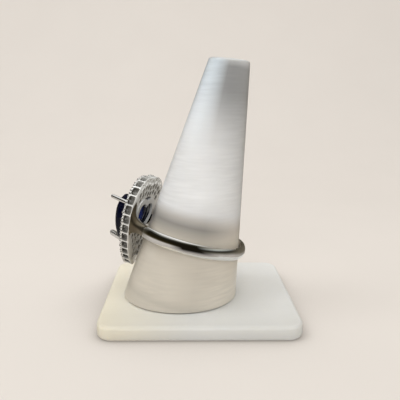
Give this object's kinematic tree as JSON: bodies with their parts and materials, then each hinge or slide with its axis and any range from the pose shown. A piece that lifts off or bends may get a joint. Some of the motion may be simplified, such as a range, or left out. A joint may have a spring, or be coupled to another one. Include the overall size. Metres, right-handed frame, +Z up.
{
  "type": "heart halo ring on a ring cone stand",
  "caption": "Heart-shaped halo ring with a raised heart-cut blue stone, pierced plate and plain band, slipped over a frosted leaning ring cone on a square base.",
  "frame": {"origin": "middle of the underside of the stand's square base", "axes": "+Z up, +X to the right, the side that the cone leans to, and +Y to the back; the band's near side faces -Y and the ring's head is at the left"},
  "size_m": [0.0313, 0.03, 0.0415],
  "materials": {
    "ring_metal": "polished white metal",
    "blue_stone": "polished, faceted, deep blue",
    "clear_stones": "polished, faceted, clear",
    "frosted_cone": "frosted, turned, translucent",
    "frosted_base": "frosted, translucent"
  },
  "bodies": {
    "root": {"ring_mount": "ring_metal", "centre_stone": "blue_stone", "halo_stones": "clear_stones", "stand_cone": "frosted_cone", "stand_base": "frosted_base"}
  },
  "joints": []
}
